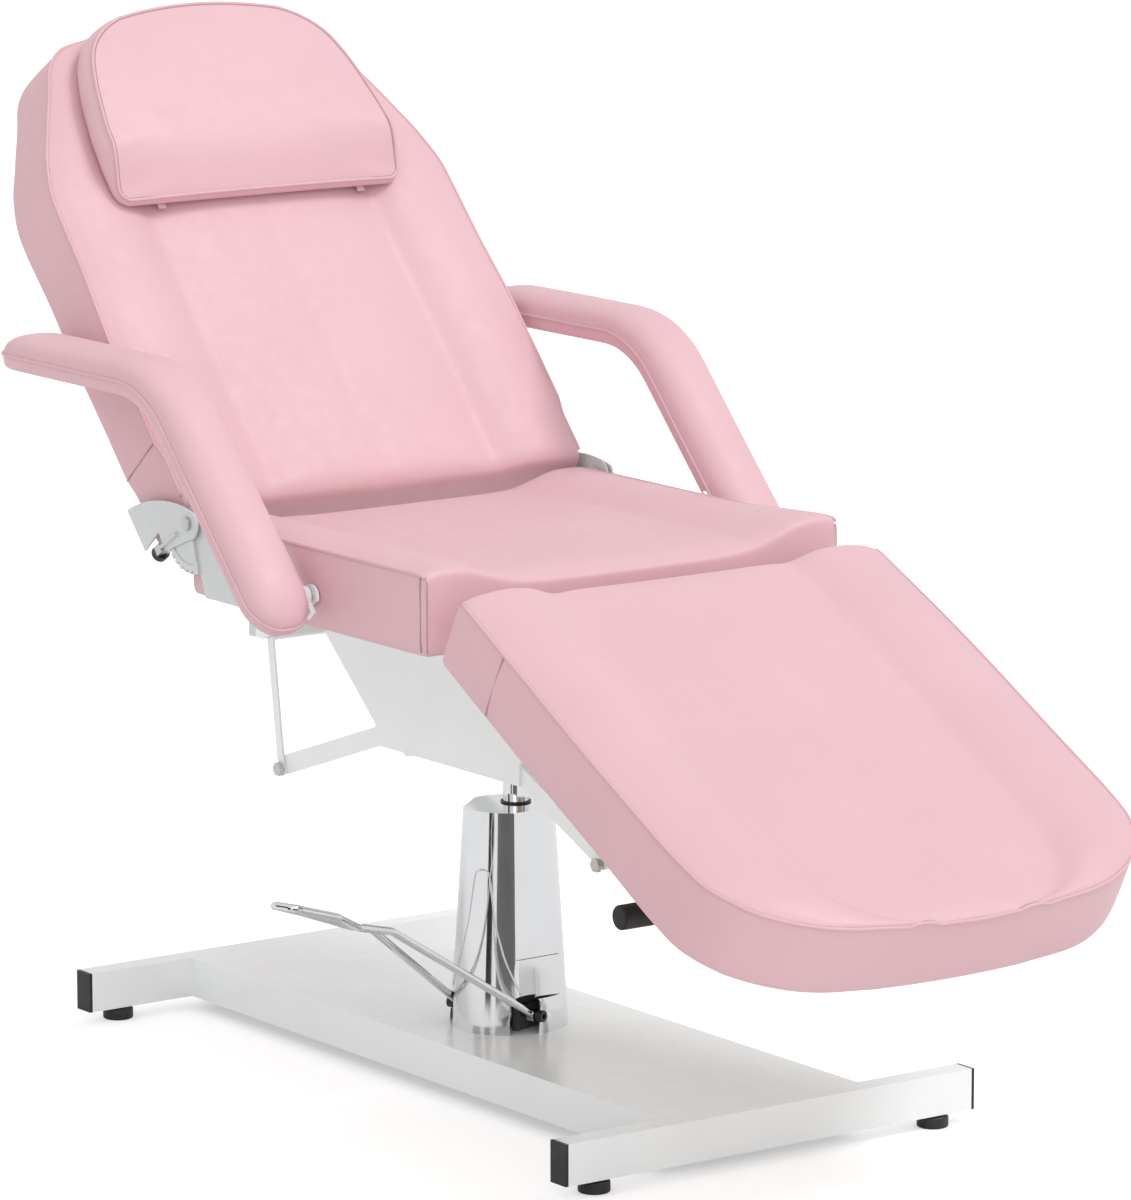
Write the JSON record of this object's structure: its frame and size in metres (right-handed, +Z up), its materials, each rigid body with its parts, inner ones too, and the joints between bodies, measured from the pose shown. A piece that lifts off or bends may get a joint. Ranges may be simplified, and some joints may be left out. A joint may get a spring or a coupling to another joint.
{
  "type": "tattoo chair",
  "caption": "Reclining three-section tattoo and treatment chair on a foot-pumped column with an H base, padded armrests, sliding head pillow and hinged leg rest.",
  "frame": {"origin": "on the floor under the middle of the whole chair's bounding box", "axes": "+Z up, +Y towards the head end, -Y towards the foot end, -X the seated person's right"},
  "size_m": [0.8586, 1.6994, 1.2616],
  "materials": {
    "white_paint": "gloss white powder coat",
    "light_grey_paint": "satin light grey powder coat",
    "chrome": "polished chrome plate",
    "upholstery": "soft pink leatherette over foam",
    "black_plastic": "moulded black plastic",
    "zinc_steel": "zinc-plated steel",
    "board": "plain plywood",
    "grip_rubber": "matt black rubber",
    "pump_iron": "dark enamelled casting"
  },
  "bodies": {
    "base": {"crossbar_foot": "white_paint", "crossbar_head": "white_paint", "end_caps": "black_plastic", "base_box": "white_paint", "foot_nuts": "zinc_steel", "pump_cover": "chrome", "pump_body": "pump_iron", "pump_collar": "black_plastic", "lever_pin": "black_plastic"},
    "foot_foot_right": {"levelling_foot_foot_right": "black_plastic"},
    "foot_foot_left": {"levelling_foot_foot_left": "black_plastic"},
    "foot_head_right": {"levelling_foot_head_right": "black_plastic"},
    "foot_head_left": {"levelling_foot_head_left": "black_plastic"},
    "pedal": {"foot_lever": "chrome"},
    "lift": {"piston_rod": "chrome"},
    "seat": {"column_hub": "white_paint", "shroud_right": "white_paint", "shroud_left": "white_paint", "shroud_webs": "white_paint", "under_arm_right": "white_paint", "under_arm_left": "white_paint", "arm_bolts": "zinc_steel", "seat_board": "board", "seat_cushion": "upholstery", "seat_frame": "white_paint", "seat_hinge_plate_right": "light_grey_paint", "seat_hinge_plate_left": "light_grey_paint", "hinge_sector_right": "light_grey_paint", "hinge_sector_left": "light_grey_paint", "back_pivot_bolts": "zinc_steel", "leg_hinge_lugs": "white_paint", "leg_hinge_pins": "zinc_steel", "armrest_lug_right": "white_paint", "armrest_lug_left": "white_paint", "armrest_pivots": "zinc_steel"},
    "stay": {"rear_stay": "white_paint"},
    "back": {"back_cushion": "upholstery", "back_board": "board", "back_link_bar": "white_paint", "back_frame": "white_paint", "back_link_right": "light_grey_paint", "back_link_left": "light_grey_paint", "plunger_sleeve_right": "zinc_steel", "plunger_sleeve_left": "zinc_steel"},
    "plunger_right": {"lock_plunger_right": "black_plastic"},
    "plunger_left": {"lock_plunger_left": "black_plastic"},
    "pillow": {"head_pillow": "upholstery", "pillow_straps": "upholstery"},
    "leg": {"leg_cushion": "upholstery", "leg_board": "board", "leg_frame": "white_paint", "leg_hinge_arms": "white_paint", "release_bracket": "white_paint"},
    "release": {"release_lever": "chrome", "release_grip": "grip_rubber"},
    "armrest_right": {"armrest_pad_right": "upholstery", "armrest_plate_right": "white_paint"},
    "armrest_left": {"armrest_pad_left": "upholstery", "armrest_plate_left": "white_paint"}
  },
  "joints": [
    {"name": "levelling_foot_right", "type": "slide", "parent": "base", "child": "foot_foot_right", "axis": [0, 0, -1], "range_m": [0, 0.012]},
    {"name": "levelling_foot_left", "type": "slide", "parent": "base", "child": "foot_foot_left", "axis": [0, 0, -1], "range_m": [0, 0.012]},
    {"name": "levelling_head_right", "type": "slide", "parent": "base", "child": "foot_head_right", "axis": [0, 0, -1], "range_m": [0, 0.012]},
    {"name": "levelling_head_left", "type": "slide", "parent": "base", "child": "foot_head_left", "axis": [0, 0, -1], "range_m": [0, 0.012]},
    {"name": "pedal_hinge", "type": "hinge", "parent": "base", "child": "pedal", "pos_m": [-0.01367, 0.03694, 0.087], "axis": [0.342, -0.9397, 0], "range_deg": [0, 16], "stiffness_Nm_per_rad": 25, "springref_deg": -8.59},
    {"name": "column_lift", "type": "slide", "parent": "base", "child": "lift", "axis": [0, 0, 1], "range_m": [0, 0.17]},
    {"name": "swivel", "type": "hinge", "parent": "lift", "child": "seat", "pos_m": [0.0258, 0.0513, 0.47], "axis": [0, 0, 1], "continuous": true},
    {"name": "back_hinge", "type": "hinge", "parent": "seat", "child": "back", "pos_m": [0.0258, 0.2963, 0.678], "axis": [1, 0, 0], "range_deg": [-48.5, 26]},
    {"name": "leg_hinge", "type": "hinge", "parent": "seat", "child": "leg", "pos_m": [0.0258, -0.201, 0.53131], "axis": [1, 0, 0], "range_deg": [-27.2, 16]},
    {"name": "pillow_slide", "type": "slide", "parent": "back", "child": "pillow", "axis": [0, -0.6626, -0.749], "range_m": [0, 0.25]},
    {"name": "stay_hinge", "type": "hinge", "parent": "seat", "child": "stay", "pos_m": [0.0258, 0.4143, 0.329], "axis": [1, 0, 0], "range_deg": [-70, 0]},
    {"name": "plunger_pull_right", "type": "slide", "parent": "back", "child": "plunger_right", "axis": [0, 0.8339, -0.5519], "range_m": [0, 0.008], "stiffness_N_per_m": 600, "springref_m": -0.006},
    {"name": "plunger_pull_left", "type": "slide", "parent": "back", "child": "plunger_left", "axis": [0, 0.8339, -0.5519], "range_m": [0, 0.008], "stiffness_N_per_m": 600, "springref_m": -0.006},
    {"name": "release_hinge", "type": "hinge", "parent": "leg", "child": "release", "pos_m": [-0.0492, -0.54783, 0.34485], "axis": [0, 0.8894, 0.4571], "range_deg": [-9, 9], "stiffness_Nm_per_rad": 14},
    {"name": "armrest_hinge_right", "type": "hinge", "parent": "seat", "child": "armrest_right", "pos_m": [-0.3352, 0.04058, 0.62816], "axis": [1, 0, 0], "range_deg": [-50, 0]},
    {"name": "armrest_hinge_left", "type": "hinge", "parent": "seat", "child": "armrest_left", "pos_m": [0.3868, 0.04058, 0.62816], "axis": [1, 0, 0], "range_deg": [-50, 0]}
  ]
}
